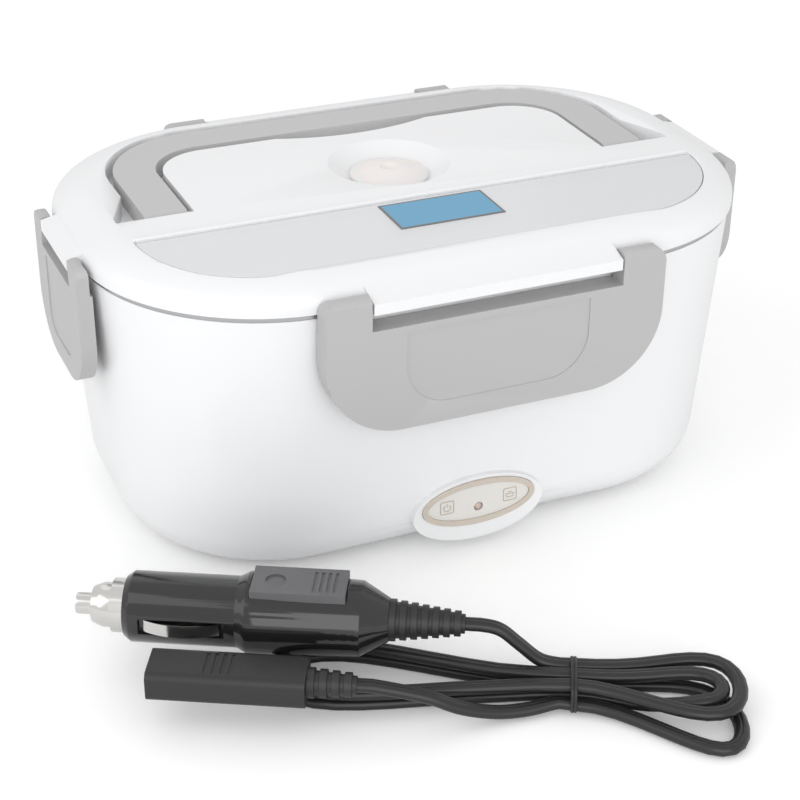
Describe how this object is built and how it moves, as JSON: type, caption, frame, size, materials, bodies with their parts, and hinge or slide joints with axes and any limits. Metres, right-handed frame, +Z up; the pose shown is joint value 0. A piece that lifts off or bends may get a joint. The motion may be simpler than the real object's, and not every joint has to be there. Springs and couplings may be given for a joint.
{
  "type": "electric lunch box",
  "caption": "Heated lunch box: rounded case, lift-out steel tray, latched lid with folding handle, vent plug and cutlery compartment, and a tied car power lead.",
  "frame": {"origin": "on the table under the middle of the box, at the bottom centre of its bounding box without the lead", "axes": "+X along the box to its right end as seen from the front, -Y to the front with the power panel, +Z up"},
  "size_m": [0.2516, 0.2726, 0.107],
  "materials": {
    "case_white": "satin gloss moulded plastic",
    "inner_white": "matte moulded plastic",
    "accent_grey": "satin moulded plastic",
    "steel": "satin stainless steel",
    "aluminium_plate": "plain rolled",
    "seal_white": "soft white silicone",
    "vent_silicone": "milky silicone",
    "foot_rubber": "matte rubber",
    "cover_clear": "clear moulded plastic",
    "label_blue": "plain printed sticker with no text",
    "bezel_beige": "translucent gloss",
    "panel_pale": "matte",
    "led_lens": "tinted lens, unlit",
    "board_green": "solder mask",
    "heater_ceramic": "unglazed",
    "mica": "mica sheet",
    "zinc": "zinc plated",
    "thermal_fuse_red": "gloss sleeve",
    "wire_insulation": "silicone insulation",
    "black_matte": "matte black moulding",
    "black_gloss": "gloss black moulding",
    "cord_black": "soft black insulation",
    "inlay_grey": "matte",
    "nickel": "nickel plated",
    "fuse_glass": "clear tube"
  },
  "bodies": {
    "case": {"outer_case": "case_white", "inner_liner": "inner_white", "bottom_cover": "case_white", "cover_screws": "zinc", "rubber_feet": "foot_rubber", "heating_plate": "aluminium_plate", "ptc_heater": "heater_ceramic", "insulation_sheet": "mica", "heater_clamp": "zinc", "clamp_screws": "zinc", "thermostat": "zinc", "thermal_fuse": "thermal_fuse_red", "wiring": "wire_insulation", "panel_bezel": "bezel_beige", "panel_face": "panel_pale", "led_board": "board_green", "indicator_led": "led_lens", "inlet_housing": "black_matte", "inlet_pins": "nickel", "lead_connector": "black_matte", "connector_relief": "black_matte", "connector_cord": "cord_black", "lead_hank": "cord_black", "plug_cord": "cord_black", "twist_tie": "black_matte", "plug_relief": "black_matte", "plug_body": "black_gloss", "plug_inlay": "inlay_grey", "plug_collar": "nickel", "plug_tip": "nickel", "plug_contacts": "nickel", "plug_fuse": "fuse_glass", "plug_spring": "steel"},
    "tray": {"steel_tray": "steel"},
    "lid": {"lid_shell": "case_white", "lid_inner": "inner_white", "lid_gasket": "seal_white", "handle_pins": "steel"},
    "vent": {"vent_plug": "vent_silicone"},
    "window": {"cutlery_cover": "cover_clear", "label": "label_blue"},
    "carry_handle": {"handle": "accent_grey"},
    "front_latch": {"latch_front": "accent_grey"},
    "right_latch": {"latch_right": "accent_grey"},
    "back_latch": {"latch_back": "accent_grey"},
    "left_latch": {"latch_left": "accent_grey"}
  },
  "joints": [
    {"name": "tray_lift", "type": "slide", "parent": "case", "child": "tray", "axis": [0, 0, 1], "range_m": [0, 0.08]},
    {"name": "lid_lift", "type": "slide", "parent": "tray", "child": "lid", "axis": [0, 0, 1], "range_m": [0, 0.06]},
    {"name": "vent_pull", "type": "slide", "parent": "lid", "child": "vent", "axis": [0, 0, 1], "range_m": [0, 0.008]},
    {"name": "cover_hinge", "type": "hinge", "parent": "lid", "child": "window", "pos_m": [0, -0.0255, 0.1054], "axis": [-1, 0, 0], "range_deg": [0, 85]},
    {"name": "handle_swing", "type": "hinge", "parent": "lid", "child": "carry_handle", "pos_m": [0, -0.0052, 0.1038], "axis": [1, 0, 0], "range_deg": [0, 90]},
    {"name": "front_latch_hinge", "type": "hinge", "parent": "lid", "child": "front_latch", "pos_m": [0, -0.0775, 0.0994], "axis": [-1, 0, 0], "range_deg": [0, 100]},
    {"name": "right_latch_hinge", "type": "hinge", "parent": "lid", "child": "right_latch", "pos_m": [0.1137, 0, 0.0994], "axis": [0, -1, 0], "range_deg": [0, 100]},
    {"name": "back_latch_hinge", "type": "hinge", "parent": "lid", "child": "back_latch", "pos_m": [0, 0.0775, 0.0994], "axis": [1, 0, 0], "range_deg": [0, 100]},
    {"name": "left_latch_hinge", "type": "hinge", "parent": "lid", "child": "left_latch", "pos_m": [-0.1137, 0, 0.0994], "axis": [0, 1, 0], "range_deg": [0, 100]}
  ]
}
